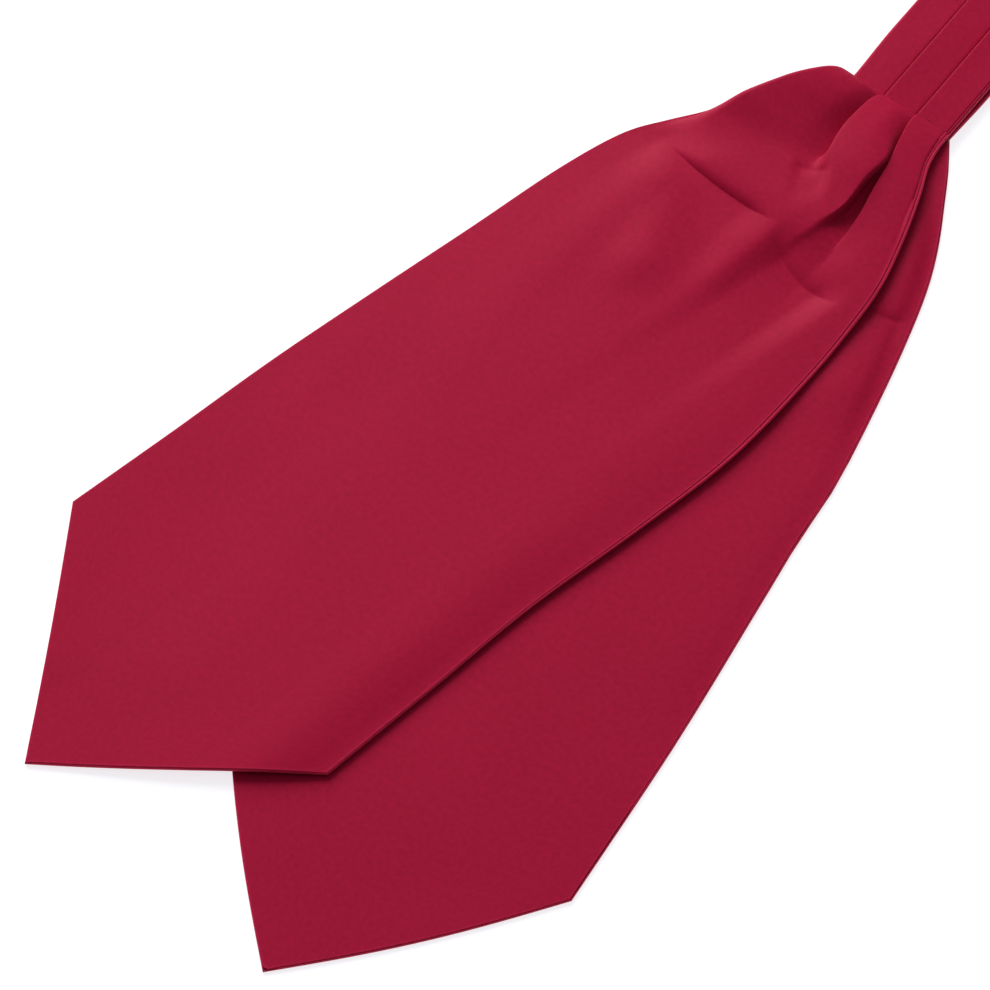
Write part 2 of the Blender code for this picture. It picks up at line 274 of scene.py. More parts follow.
def make_ply(name, lower, upper, edge):
    """A closed ply from its lower and upper points and their distances from the edge, in mm."""
    rows, columns = lower.shape[:2]
    bm = bmesh.new()
    bmesh.ops.create_grid(bm, x_segments=columns - 1, y_segments=rows - 1, size=1.0)
    extruded = bmesh.ops.extrude_face_region(bm, geom=bm.faces[:])
    for item in extruded["geom"]:
        if isinstance(item, bmesh.types.BMVert):
            item.co.z = 1.0
    uv_layer = bm.loops.layers.uv.new("cloth")
    flat_uv = cloth_uv(upper)
    # The 'hem' weight drives a painted highlight: the satin colours the cloth lighter near its
    # edges.
    painted_highlight_weight = np.exp(-np.broadcast_to(edge, flat_uv.shape[:2]) / PAINTED_HIGHLIGHT_REACH)
    hem = bm.verts.layers.float.new("hem")
    address = {}
    for vert in bm.verts:
        column = round((vert.co.x + 1) / 2 * (columns - 1))
        row = round((vert.co.y + 1) / 2 * (rows - 1))
        address[vert] = (row, column, vert.co.z > 0.5)
    lower_m, upper_m = to_frame(lower), to_frame(upper)
    for vert, (row, column, top) in address.items():
        vert.co = (upper_m if top else lower_m)[row, column]
        vert[hem] = painted_highlight_weight[row, column]
    for face in bm.faces:
        face.smooth = True
        for loop in face.loops:
            row, column, top = address[loop.vert]
            loop[uv_layer].uv = flat_uv[row, column] * MM
    bmesh.ops.recalc_face_normals(bm, faces=bm.faces)
    if bm.calc_volume(signed=True) < 0:
        bmesh.ops.reverse_faces(bm, faces=bm.faces)
    mesh = bpy.data.meshes.new(name)
    bm.to_mesh(mesh)
    triangles = sum(len(face.verts) - 2 for face in bm.faces)
    bm.free()
    ply = bpy.data.objects.new(name, mesh)
    bpy.context.scene.collection.objects.link(ply)
    print(name, "ply:", rows, "rows,", columns, "columns,", triangles, "triangles")
    return ply


def surface_normals(points, upright_rows):
    """Unit normals, upright at the sewn end and turning to the form's own a few rows on."""
    normals = np.cross(np.gradient(points, axis=1), -np.gradient(points, axis=0))
    normals /= np.linalg.norm(normals, axis=2, keepdims=True)
    own = smooth(np.arange(len(points)) / upright_rows)[:, None, None]
    normals = normals * own + np.array([0.0, 0.0, 1.0]) * (1 - own)
    return normals / np.linalg.norm(normals, axis=2, keepdims=True)


def cloth_uv(points):
    """Distances along the cloth: across from the left edge, and down from the seam."""
    across = np.linalg.norm(np.diff(points, axis=1), axis=2)
    down = np.linalg.norm(np.diff(points, axis=0), axis=2)
    u = np.concatenate([np.zeros((len(points), 1)), np.cumsum(across, axis=1)], axis=1)
    v = np.concatenate([np.zeros((1, points.shape[1])), np.cumsum(down, axis=0)])
    u -= u[:, -1:] / 2
    return np.stack([u, v], axis=2)


# %% [markdown]
# ## The back blade
#
# The back blade lies flat, a little to the right. Only its right side and its point show. Its
# centre line runs from the seam to the tip, and a table of half widths gives the outline: it
# spreads fast out of the pleats and then slowly to the shoulders of the point.

# %% Back blade outline
BACK_SEAM_MIDDLE = np.array([0.7, 0.0])
BACK_TIP = np.array([51.0, -449.0])
BACK_SHOULDER_AT = 365.0
BACK_WIDTHS = [
    # distance from seam, half width
    (0, 23.5),
    (12, 30.7),
    (26, 37.4),
    (44, 45.2),
    (65, 52.2),
    (90, 57.8),
    (120, 63.0),
    (160, 68.4),
    (190, 69.4),
    (220, 71.6),
    (290, 76.4),
    (365, 78.7),
]
SEAM_SKEW = 2.2
BACK_POINT = (50.0, -449.8)
BACK_END_BOWS = (2.4, 2.5)
SEAM_GAP = 0.03
NEAR_END = 3.2
END_SHARES = (0.92, 0.84, 0.76, 0.68, 0.6, 0.52, 0.44, 0.36, 0.28, 0.2, 0.13, 0.06, 0.0)
NEAR_GAPS = (2.0, 1.3, 0.95, 0.8, 0.62, 0.42, 0.26, 0.12, 0.0)
back_length = np.linalg.norm(BACK_TIP - BACK_SEAM_MIDDLE)
back_down = (BACK_TIP - BACK_SEAM_MIDDLE) / back_length
back_right = np.array([-back_down[1], back_down[0]])
width_curve = through(BACK_WIDTHS, np.linspace(0, len(BACK_WIDTHS) - 1, 400), rounded=True)
print("back blade length, mm:", round(back_length, 1))


def back_half_width(distance):
    return np.interp(distance, width_curve[:, 0], width_curve[:, 1])


def inside_back_blade(xy):
    """Distance in from the back blade's hidden left side, negative outside it."""
    offset = xy - BACK_SEAM_MIDDLE
    along = offset @ back_down
    side = offset @ back_right + back_half_width(np.clip(along, 0, BACK_SHOULDER_AT))
    rise = back_length - BACK_SHOULDER_AT
    reach = back_half_width(BACK_SHOULDER_AT)
    point = ((back_length - along) * reach + (offset @ back_right) * rise) / np.hypot(reach, rise)
    return np.minimum(side, point)


def pointed_end(share, left, tip, right, bows):
    """Points along a blade's pointed end, whose two sides bow out a little."""
    left, tip, right = np.array(left), np.array(tip), np.array(right)
    ends = []
    sides = ((left, tip, 2 * share, bows[0]), (tip, right, 2 * share - 1, bows[1]))
    for start, end, along, most in sides:
        side = end - start
        outward = np.array([side[1], -side[0]]) / np.linalg.norm(side)
        bow = most * np.sin(np.pi * np.clip(along, 0, 1))
        ends.append(start + side * along[..., None] + outward * bow[..., None])
    return np.where(share[..., None] < 0.5, ends[0], ends[1])


def toward_end(straight, point, end_gap):
    """Rows from the last straight row to end_gap short of the pointed end, with their gaps."""
    span = np.linalg.norm(point - straight, axis=-1)
    gaps = [end_gap + share * (span - end_gap - NEAR_END) + NEAR_END for share in END_SHARES]
    gaps += [np.full_like(span, end_gap + near) for near in NEAR_GAPS]
    rows = [straight + (point - straight) * (1 - gap / span)[..., None] for gap in gaps]
    return np.array(rows), np.array(gaps) - end_gap


# %% [markdown]
# ## Creases
#
# Silk that has been folded and packed keeps a few fine creases. Each is one row of a table: it
# starts and ends at a place on the blade and bends a little on the way. A tuck drops quickly to
# its line on one side and climbs out slowly on the other, so it shows as a sharp line with a
# soft shadow beside it. A swell is a broad low ridge, the same on both plies.

# %% Crease helpers
END_FADE = 3.5
LINE_SOFTNESS = 0.06


def along_and_across(xy, x0, y0, x1, y1, bend):
    """Distance to the left of a bent line, and a fade to nothing at its two ends."""
    start, end = np.array([x0, y0]), np.array([x1, y1])
    length = np.linalg.norm(end - start)
    along_way = (end - start) / length
    left_way = np.array([-along_way[1], along_way[0]])
    along = (xy - start) @ along_way / length
    across = (xy - start) @ left_way - 4 * bend * along * (1 - along)
    along = np.clip(along, 0, 1)
    return across, smooth(along * END_FADE) * smooth((1 - along) * END_FADE)


def tucked(xy, tucks, least_reach=0.0, deeper=1.0):
    """Height change from a table of tucks; a turned side takes a wider, deeper one."""
    change = np.zeros(xy.shape[:-1])
    for name, x0, y0, x1, y1, bend, depth, right, left in tucks:
        across, fade = along_and_across(xy, x0, y0, x1, y1, bend)
        reach = np.maximum(np.where(across > 0, left, right), least_reach)
        off = np.sqrt((across / reach) ** 2 + LINE_SOFTNESS ** 2) - LINE_SOFTNESS
        change -= deeper * depth * fade * np.exp(-off)
    return change


def swelled(xy, swells):
    """Height change from a table of swells."""
    change = np.zeros(xy.shape[:-1])
    for name, x0, y0, x1, y1, bend, height, reach in swells:
        across, fade = along_and_across(xy, x0, y0, x1, y1, bend)
        change += height * fade * np.exp(-(across / reach) ** 2)
    return change


# %% Back blade plies
BACK_TUCKS = [
    # name, start x, y, end x, y, bend, depth, reach right, reach left
    ("neck tuck", 40.0, -83.6, 68.0, -75.8, -1.0, 1.1, 14.0, 2.4),
]
BACK_SWELLS = [
    # name, start x, y, end x, y, bend, height, reach
    ("neck swell", 36.0, -20.0, 66.0, -150.0, 3.0, 1.7, 16.0),
    ("band pull", 66.0, -96.0, 92.0, -300.0, 4.0, 0.30, 16.0),
    ("tip pull", 40.0, -300.0, 84.0, -380.0, -6.0, 0.25, 20.0),
]
LAST_STRAIGHT = 320.0
BACK_COLUMNS = 74
END_EDGE_SHARE = 0.75
SHOWN_END_INSET = 1.3


def back_rows(shown, spread):
    """Plan points of a back ply, their distances from its edge, and the rim beyond that."""
    rows = np.concatenate([np.arange(0, 60, 3.0), np.arange(60, 72, 2.0), np.arange(72, 96, 0.6),
                           np.arange(96, 140, 4.0), np.arange(140, LAST_STRAIGHT, 8.0)])
    rows = np.append(rows[::spread], LAST_STRAIGHT)
    reach = back_half_width(rows)[:, None]
    if shown:
        left_gaps, right_gaps = LEFT_RIM + SHOWN_GAPS, BACK_RIM + SHOWN_GAPS[::-1]
    else:
        left_gaps, right_gaps = SHOWN_GAPS, (TURNED_GAPS @ (1.0, BACK_RIM))[::-1]
    share = np.linspace(-1, 1, BACK_COLUMNS // spread)[1:-1]
    side = np.concatenate([-reach + left_gaps, (reach - 2.6) * share, reach - right_gaps], axis=1)
    xy = BACK_SEAM_MIDDLE + rows[:, None, None] * back_down + side[..., None] * back_right
    square = 1 - smooth(rows / NECK_FADE)[:, None]
    xy[..., 1] += square * (SEAM_SKEW * side / reach - back_right[1] * side) - SEAM_GAP
    reach_end = back_half_width(BACK_SHOULDER_AT)
    shoulders = BACK_SEAM_MIDDLE + BACK_SHOULDER_AT * back_down
    end_share = (1 + side[-1] / reach[-1]) / 2
    point = pointed_end(end_share, shoulders - reach_end * back_right, BACK_POINT,
                        shoulders + reach_end * back_right, BACK_END_BOWS)
    rim_end = end_rim(end_share)
    end, end_gap = toward_end(xy[-1], point, rim_end * SHOWN_END_INSET * shown)
    left, right = reach + side - LEFT_RIM * shown, reach - side - BACK_RIM * shown
    near = np.minimum(left, right)
    edge = np.concatenate([near, np.minimum(near[-1], end_gap * END_EDGE_SHARE)])
    side_rim = np.where(side > 0, BACK_RIM, 0.0)
    rim = np.concatenate([side_rim, np.broadcast_to(rim_end, end_gap.shape)])
    return np.concatenate([xy, end]), np.maximum(edge, 0), rim


def back_turned_side():
    xy, edge, rim = back_rows(False, 2)
    half = PLY / 2 * edge_round(edge)
    lower, upper = PLY / 2 - half, PLY / 2 + half + rim_rise(edge, rim)
    return np.dstack([xy, lower]), np.dstack([xy, upper]), edge


def back_shown_side():
    xy, edge, rim = back_rows(True, 1)
    half = PLY / 2 * edge_round(edge)
    middle = PLY + PLY_GAP + PLY / 2
    lower, upper = middle - half, middle + half
    neck = BACK_NECK_EXTRA * (1 - smooth(-xy[..., 1] / NECK_FADE))
    swell = swelled(xy, BACK_SWELLS) * smooth((edge - 1) / 8)
    tuck = tucked(xy, BACK_TUCKS) * smooth((edge - 1) / 5)
    lift = np.maximum(swell + tuck, 0)
    return np.dstack([xy, lower + 0.8 * lift]), np.dstack([xy, upper + neck + lift]), edge


back_under = make_ply("back_blade_turned_side", *back_turned_side())
back_top = make_ply("back_blade_shown_side", *back_shown_side())

# %% [markdown]
# ## The front blade
#
# This is the piece the eye goes to. Twelve form lines run down it from the neck: the left edge
# and the puff that stands up beside it, the valley and fold of the second pleat and its crown,
# the brow that hangs over a dark hollow, and the third pleat, whose flat strip carries the hem.
# Two tables hold where each line crosses a section and how high the cloth stands there. Where a
# pleat is closed, its valley and fold lie side by side and the cloth steps up between them.

# %% Front blade tables
FRONT_SECTIONS = [
    # left x, left y, right x, right y
    (-23.5, -2.2, 23.5, 2.2),
    (-31.5, -4.0, 24.5, -6.0),
    (-38.0, -13.0, 26.9, -16.0),
    (-45.0, -25.0, 31.9, -27.0),
    (-52.5, -38.0, 37.0, -40.0),
    (-59.5, -52.0, 42.0, -55.0),
    (-68.8, -66.0, 46.4, -71.0),
    (-79.5, -82.0, 48.6, -88.0),
    (-88.9, -111.0, 50.2, -122.0),
    (-98.5, -155.0, 49.0, -170.0),
    (-108.5, -200.0, 41.0, -218.0),
    (-119.1, -250.0, 30.5, -270.0),
    (-127.9, -300.0, 24.0, -320.0),
]
LEFT_SHOULDER = (-137.0, -349.0)
FRONT_TIP = (-75.2, -444.0)
RIGHT_SHOULDER = (16.6, -374.2)
FRONT_END_BOWS = (-0.6, 1.0)
FORM_LINES = ("edge", "side", "puff", "valley_b", "fold_b", "crown", "brow", "hollow",
              "valley_c", "fold_c", "strip", "hem")
LINE_PLACES = [
    (0.00, 0.08, 0.20, 0.325, 0.337, 0.47, 0.580, 0.620, 0.660, 0.672, 0.83, 1.00),
    (0.00, 0.07, 0.26, 0.376, 0.386, 0.54, 0.640, 0.675, 0.700, 0.710, 0.86, 1.00),
    (0.00, 0.06, 0.31, 0.420, 0.430, 0.58, 0.700, 0.730, 0.743, 0.752, 0.87, 1.00),
    (0.00, 0.05, 0.33, 0.451, 0.460, 0.60, 0.748, 0.757, 0.762, 0.770, 0.88, 1.00),
    (0.00, 0.05, 0.36, 0.498, 0.508, 0.62, 0.724, 0.738, 0.768, 0.775, 0.88, 1.00),
    (0.00, 0.06, 0.32, 0.470, 0.560, 0.64, 0.716, 0.730, 0.778, 0.785, 0.88, 1.00),
    (0.00, 0.07, 0.27, 0.440, 0.520, 0.60, 0.672, 0.712, 0.780, 0.787, 0.88, 1.00),
    (0.00, 0.08, 0.25, 0.420, 0.470, 0.55, 0.648, 0.690, 0.783, 0.790, 0.88, 1.00),
    (0.00, 0.09, 0.25, 0.410, 0.440, 0.53, 0.640, 0.700, 0.773, 0.780, 0.88, 1.00),
    (0.00, 0.10, 0.25, 0.396, 0.404, 0.50, 0.600, 0.690, 0.763, 0.770, 0.87, 1.00),
]
LINE_HEIGHTS = [
    (0.5, 0.4, 0.2, 0.0, 1.3, 0.8, 0.4, 0.2, 0.0, 1.3, 0.7, 0.2),
    (1.6, 6.2, 4.8, 2.2, 3.0, 3.1, 2.2, 1.5, 0.8, 2.2, 1.6, 0.8),
    (1.0, 10.4, 7.8, 4.3, 6.0, 6.2, 4.8, 3.4, 2.2, 3.8, 3.0, 1.9),
    (0.8, 12.0, 8.4, 4.5, 8.4, 8.8, 7.6, 5.4, 3.2, 5.2, 4.5, 3.3),
    (1.2, 11.4, 8.2, 5.7, 9.4, 10.1, 9.6, 2.8, 0.9, 5.8, 5.3, 4.2),
    (2.0, 7.8, 7.8, 7.9, 8.4, 9.1, 9.1, 3.0, 1.6, 5.4, 5.2, 4.4),
    (2.6, 3.8, 6.7, 7.2, 7.4, 7.7, 7.6, 5.7, 3.9, 4.0, 4.8, 4.4),
    (1.2, 1.6, 4.8, 5.5, 5.6, 5.6, 5.2, 4.4, 3.3, 3.32, 3.6, 3.4),
    (0.4, 0.7, 2.3, 3.1, 3.15, 3.2, 3.0, 2.85, 2.6, 2.58, 2.5, 2.1),
    (0.0, 0.15, 0.75, 1.38, 1.42, 1.72, 1.95, 2.1, 2.22, 2.23, 2.35, 1.8),
    (0.0, 0.0, 0.2, 0.62, 0.65, 1.0, 1.35, 1.62, 1.84, 1.86, 2.15, 1.4),
    (0.0, 0.0, 0.0, 0.15, 0.17, 0.5, 0.95, 1.38, 1.72, 1.75, 2.2, 1.1),
    (0.0, 0.0, 0.0, 0.08, 0.1, 0.45, 0.95, 1.45, 1.88, 1.92, 2.5, 0.9),
    (0.0, 0.0, 0.0, 0.08, 0.1, 0.45, 0.95, 1.5, 1.98, 2.02, 2.65, 0.9),
]
PLEATS = (("valley_b", "fold_b"), ("valley_c", "fold_c"))
STEEP_AFTER = ("edge", "valley_b", "brow", "valley_c")
RIM_AT = (0, 2, 9, 10.5, 12)
RIM_WIDTHS = (1.1, 1.5, 1.5, 0.9, END_RIM)
CLIMB_START = 72.0
CLIMB_WIDTH = 64.0
TURNED_SHARE = 0.95
TURNED_SHIFTS = {"brow": -0.012, "hollow": -0.006}
TURNED_TUCK_REACH = 5.5
TURNED_TUCK_DEPTH = 1.2
FRONT_TUCKS = [
    # name, start x, y, end x, y, bend, depth, reach right, reach left
    ("puff tuck", -62.0, -75.0, -2.0, -77.2, -2.0, 2.1, 34.0, 1.9),
    ("pleat end", -16.0, -52.5, 0.0, -44.5, -1.2, 0.9, 10.0, 2.4),
    ("hollow foot", -3.0, -79.5, 40.0, -89.2, -6.2, 2.6, 38.0, 5.0),
]
FRONT_SWELLS = [
    # name, start x, y, end x, y, bend, height, reach
    ("light swell", -58.0, -70.0, -29.0, -142.0, 2.0, 1.5, 12.0),
    ("side ripple", -17.0, -84.0, -3.0, -120.0, 1.0, 0.3, 7.0),
    ("long pull", -30.0, -150.0, -70.0, -360.0, 5.0, 0.15, 26.0),
    ("left press", -96.0, -180.0, -112.0, -330.0, 3.0, 0.20, 12.0),
    ("right press", 10.0, -160.0, -10.0, -330.0, 4.0, 0.15, 18.0),
]
print(len(FRONT_SECTIONS), "sections,", len(FORM_LINES), "form lines,", len(FRONT_TUCKS), "tucks")

# %% [markdown]
# The middle of the blade comes first. Left of the back blade it lies on the surface, and it
# climbs gently onto the back blade; the tables add how far it stands proud of that. The turned
# side underneath skips the pleats: there it keeps to the valley, so the pleat stands hollow.

# %% Front blade middle surface


def front_rest_height(xy):
    climb = smooth((inside_back_blade(xy) + CLIMB_START) / CLIMB_WIDTH)
    neck = FRONT_NECK_EXTRA * (1 - smooth(-xy[..., 1] / NECK_FADE))
    return BLADE / 2 + climb * (BLADE + LAYER_GAP + neck)


def turned_side_heights():
    heights = TURNED_SHARE * np.array(LINE_HEIGHTS)
    heights[0] = 0.0
    for valley, fold in PLEATS:
        heights[:, FORM_LINES.index(fold)] = heights[:, FORM_LINES.index(valley)]
    return heights


def front_middle(sections, columns, turned):
    """Middle points, distances from the edge, and the rim beyond the shown side."""
    lines, from_left, from_right, of_rim = columns
    last = len(FRONT_SECTIONS) - 1
    straight = through(FRONT_SECTIONS, np.minimum(sections, last), rounded=True)
    places = np.array(LINE_PLACES)
    if turned:
        for line, shift in TURNED_SHIFTS.items():
            places[:, FORM_LINES.index(line)] += shift
    near = through(places, np.minimum(sections, len(LINE_PLACES) - 1))
    share = np.stack([through(row, lines) for row in near])
    left, right = straight[:, None, :2], straight[:, None, 2:]
    width = np.linalg.norm(right - left, axis=2)
    rim = np.interp(sections, RIM_AT, RIM_WIDTHS)[:, None]
    inset_left, inset_right = (0.0, 0.0) if turned else (LEFT_RIM, rim)
    share = np.where(from_left >= 0, (inset_left + from_left) / width, share)
    share = np.where(from_right > -1, 1 - (inset_right + from_right + of_rim * rim) / width, share)
    xy = left + (right - left) * share[..., None]
    table = turned_side_heights() if turned else np.array(LINE_HEIGHTS)
    stand = np.stack([through(row, lines) for row in through(table, sections)])
    point = pointed_end(share[-1], LEFT_SHOULDER, FRONT_TIP, RIGHT_SHOULDER, FRONT_END_BOWS)
    rim_end = end_rim(share[-1])
    end, end_gap = toward_end(xy[-1], point, rim_end * (0.0 if turned else SHOWN_END_INSET))
    to_end = 1 - end_gap / np.linalg.norm(point - xy[-1], axis=-1)
    stand = np.concatenate([stand, stand[-1] + (through(table[-1], lines) - stand[-1]) * to_end])
    xy = np.concatenate([xy, end])
    side = np.minimum(share * width - inset_left, (1 - share) * width - inset_right)
    edge = np.concatenate([side, np.minimum(side[-1], end_gap * END_EDGE_SHARE)])
    side_rim = np.where(share > 0.5, rim, 0.0)
    rims = np.concatenate([side_rim, np.broadcast_to(rim_end, end_gap.shape)])
    softer = (TURNED_TUCK_REACH, TURNED_TUCK_DEPTH) if turned else ()
    stand = stand + swelled(xy, FRONT_SWELLS) + tucked(xy, FRONT_TUCKS, *softer)
    z = front_rest_height(xy) + np.maximum(stand, 0)
    return np.dstack([xy, z]), np.maximum(edge, 0), rims


# %% [markdown]
# Columns crowd where the cloth turns: at both edges, and at the two pleats, where a valley and a
# fold line stand less than a millimetre apart and the cloth between them is nearly upright.

# %% Front blade plies
FINE_SPANS = (12, 14, 6, 12, 12, 10, 6, 6, 14)
COARSE_SPANS = (6, 7, 3, 7, 6, 5, 4, 3, 6)
FIRST_SHARES = (0.48, 0.62, 0.74, 0.86)
LAST_SHARES = (0.12, 0.24, 0.36, 0.48, 0.58, 0.67)
FINE_ROWS = [
    # section reached, rows
    (0.012, 1), (0.04, 1), (1, 9), (2, 10), (3, 13), (4, 17), (5, 17), (6, 15), (6.3, 8),
    (7.0, 38), (7.3, 20), (8, 16), (9, 22), (10, 16), (11, 12), (12, 12),
]
COARSE_ROWS = [
    # section reached, rows
    (1, 4), (2, 5), (3, 6), (4, 7), (5, 7), (6, 7), (7, 14), (8, 12), (9, 10), (12, 20),
]
SEAM_ROUND_ROWS = 11
FOLDED_UNTIL = 6.2
STEEP_FADE = 0.8


def row_sections(table):
    start, sections = 0.0, []
    for reached, rows in table:
        sections.append(np.linspace(start, reached, rows, endpoint=False))
        start = reached
    return np.append(np.concatenate(sections), start)


def front_columns(spans, turned):
    """Each column's line, or its gap from an edge in mm and as a share of the rim."""
    unused = -9.0
    hem = len(FORM_LINES) - 1
    columns = [(0.0, gap, unused, 0.0) for gap in SHOWN_GAPS]
    columns += [(share, unused, unused, 0.0) for share in FIRST_SHARES]
    columns += [(1 + line, unused, unused, 0.0) for line in spaced(spans)]
    columns += [(hem - 1 + share, unused, unused, 0.0) for share in LAST_SHARES]
    if turned:
        columns += [(hem, unused, gap, part) for gap, part in TURNED_GAPS[::-1]]
    else:
        columns += [(hem, unused, gap, 0.0) for gap in SHOWN_GAPS[::-1]]
    return np.array(columns).T


def front_ply(spans, row_table, below, above, turned):
    """Lower and upper points, set off square to the form but upright beside a steep pleat."""
    columns = front_columns(spans, turned)
    sections = row_sections(row_table)
    middle, edge, rim = front_middle(sections, columns, turned)
    normals = surface_normals(middle, SEAM_ROUND_ROWS)
    folded = np.zeros(len(middle))
    folded[:len(sections)] = 1 - smooth(sections - FOLDED_UNTIL)
    for name in STEEP_AFTER:
        off = np.abs(columns[0] - FORM_LINES.index(name) - 0.5) - 0.5
        upright = (1 - smooth(off / STEEP_FADE))[None, :, None] * folded[:, None, None]
        normals = normals * (1 - upright) + np.array([0.0, 0.0, 1.0]) * upright
    normals /= np.linalg.norm(normals, axis=2, keepdims=True)
    round_off = edge_round(edge)
    centre, half = (below + above) / 2, (above - below) / 2
    lower = middle + normals * (centre - half * round_off)[..., None]
    rise = rim_rise(edge, rim) if turned else 0.0
    upper = middle + normals * (centre + half * round_off + rise)[..., None]
    return lower, upper, edge


front_top = make_ply("front_blade_satin_side",
                     *front_ply(FINE_SPANS, FINE_ROWS, PLY_GAP / 2, PLY_GAP / 2 + PLY, False))
front_under = make_ply("front_blade_under_side",
                       *front_ply(COARSE_SPANS, COARSE_ROWS, -PLY_GAP / 2 - PLY, -PLY_GAP / 2, True))

# %% [markdown]
# ## The neckband
#
# The band is one strip pressed into three runs, each lying on the one to its left. It leaves
# the seam, turns over beyond the picture and comes back underneath to the back blade. Its edges
# are folded cloth, so they are round, with a stitched seam just inside the right-hand one.

# %% Neckband
BAND_WIDTH = 47.0
BAND_LENGTH = 300.0
BAND_WALL = 2.3
BAND_UNDER_WALL = 3.0
BAND_LEAN = -2.0
LOWER_RUN_SHIFT = 1.3
TURN_RADIUS = 1.5
TURN_RISE_LENGTH = 45.0
BAND_LAYER_GAP = 0.3
BAND_EDGE_RADIUS = 1.1
BAND_EDGE_LEAST = 0.04
BAND_FLARE = 1.2
FLARE_GROWTH = 30.0
FLARE_REACH = 14.0
BAND_RIPPLE = 0.10
RIPPLE_ALONG = 9.0
RIPPLE_ACROSS = 5.2
SEAM_INSET = 1.25
SEAM_GROOVE = 0.30
SEAM_GROOVE_WIDTH = 0.14
PLEAT_STEP = 1.35
RISE_ROWS = 24
TURN_ROWS = 20
UNDER_ROWS = 31
RUN_COLUMNS = 12
AFTER_FOLD = 1.2
BEFORE_FOLD = 1.4
LEFT_FOLD_GAPS = (0.0, 0.08, 0.2, 0.4, 0.65, 0.95)
LEFT_FOLD_REACH = 1.4
STITCHED_GAPS = (1.9, 1.55, 1.4, 1.32, 1.25, 1.18, 1.1, 0.95, 0.65, 0.4, 0.2, 0.08, 0.0)
STITCHED_REACH = 2.6
BAND_RUNS = [(0.35, 0.2, 0.0), (1.0, 0.5, 0.0), (1.0, 0.5, 0.15)]
BAND_FOLD = [
    # across, height share
    (-0.90, 0.00),
    (-0.60, -0.08),
    (-0.42, -0.42),
    (-0.32, -0.52),
    (-0.22, -0.40),
    (-0.12, 0.25),
    (-0.04, 0.72),
    (0.10, 0.94),
    (0.35, 1.00),
]


def band_profile():
    """Places across the band, in mm, and the lift at each as a share of the pleat step."""
    run_width = BAND_WIDTH / len(BAND_RUNS)
    last_run = len(BAND_RUNS) - 1
    places, lifts = [], []
    for run, (left, middle, right) in enumerate(BAND_RUNS):
        start = run * run_width
        if run:
            places += [start + across for across, height in BAND_FOLD]
            lifts += [height * left for across, height in BAND_FOLD]
        first = AFTER_FOLD if run else 0.0
        last = run_width - (BEFORE_FOLD if run < last_run else 0.0)
        steps = np.linspace(first, last, RUN_COLUMNS + 1)
        if run == 0:
            steps = np.append(LEFT_FOLD_GAPS, np.linspace(LEFT_FOLD_REACH, last, RUN_COLUMNS))
        if run == last_run:
            steps = np.append(np.linspace(first, last - STITCHED_REACH, RUN_COLUMNS),
                              last - np.array(STITCHED_GAPS))
        places += list(start + steps)
        lifts += list(through([left, middle, right], 2 * steps / run_width))
    return np.array(places), np.array(lifts)


def band_path():
    """Length along the band and height, from the seam over the turn and back underneath."""
    half = BAND_LENGTH / 2
    level = BAND_UNDER_WALL + BAND_LAYER_GAP
    rise = 2 * TURN_RADIUS - BAND_LAYER_GAP
    rise_at = half - TURN_RISE_LENGTH
    run = np.concatenate([SEAM_GAP + np.array([0.0, 0.05, 0.3]),
                          np.linspace(1.5, rise_at, 33, endpoint=False),
                          np.linspace(rise_at, half, RISE_ROWS, endpoint=False)])
    path = [(y, level + rise * smooth((y - rise_at) / TURN_RISE_LENGTH)) for y in run]
    for angle in np.linspace(0, np.pi, TURN_ROWS, endpoint=False):
        path.append((half + TURN_RADIUS * np.sin(angle),
                     BAND_UNDER_WALL + TURN_RADIUS * (1 + np.cos(angle))))
    path += [(y, BAND_UNDER_WALL) for y in np.linspace(half, 0, UNDER_ROWS)]
    return np.array(path)


def neckband_plies():
    at, lift = band_profile()
    path = band_path()
    tangent = np.gradient(path, axis=0)
    tangent[-UNDER_ROWS:] = (-1.0, 0.0)
    tangent[0] = (1.0, 0.0)
    tangent /= np.linalg.norm(tangent, axis=1, keepdims=True)
    outward = np.stack([-tangent[:, 1], tangent[:, 0]], axis=1)
    top_rows = len(path) - TURN_ROWS - UNDER_ROWS
    under = smooth((np.arange(len(path)) - top_rows) / TURN_ROWS)
    y = path[:, 0]
    lean = BAND_LEAN * y / 50 + LOWER_RUN_SHIFT * under * smooth((y + 15) / 45)
    wall = BAND_WALL + PLEAT_STEP * lift[None, :] * (1 - under[:, None])
    wall += (BAND_UNDER_WALL - BAND_WALL) * under[:, None]
    skew = SEAM_SKEW * (1 - smooth(y / NECK_FADE))
    opening = 0.2 + 0.8 * smooth(y / FLARE_GROWTH)
    flare = BAND_FLARE * opening[:, None] * (1 - smooth(at / FLARE_REACH))[None, :]
    edge = np.minimum(at, BAND_WIDTH - at)
    depth = 1 - np.clip(edge / BAND_EDGE_RADIUS, 0, 1)
    round_off = np.sqrt(1 - depth ** 2) * (1 - BAND_EDGE_LEAST) + BAND_EDGE_LEAST
    from_seam = (BAND_WIDTH - at - SEAM_INSET) / SEAM_GROOVE_WIDTH
    groove = SEAM_GROOVE * np.exp(-from_seam ** 2)
    ripple = BAND_RIPPLE * np.sin(y / RIPPLE_ALONG)[:, None] * np.sin(at / RIPPLE_ACROSS)[None, :]

    def place(off):
        side = 2 * at[None, :] / BAND_WIDTH - 1
        x = lean[:, None] + side * BAND_WIDTH / 2 - flare
        yy = y[:, None] + outward[:, :1] * off + side * skew[:, None]
        zz = path[:, 1:] + outward[:, 1:] * off
        return np.stack([x, yy, zz], axis=2)

    inner_off = wall / 2 * (1 - round_off)
    outer_off = wall / 2 * (1 + round_off) + (ripple - groove) * (1 - under[:, None])
    return place(inner_off), place(outer_off), edge


band = make_ply("neckband_pleated", *neckband_plies())

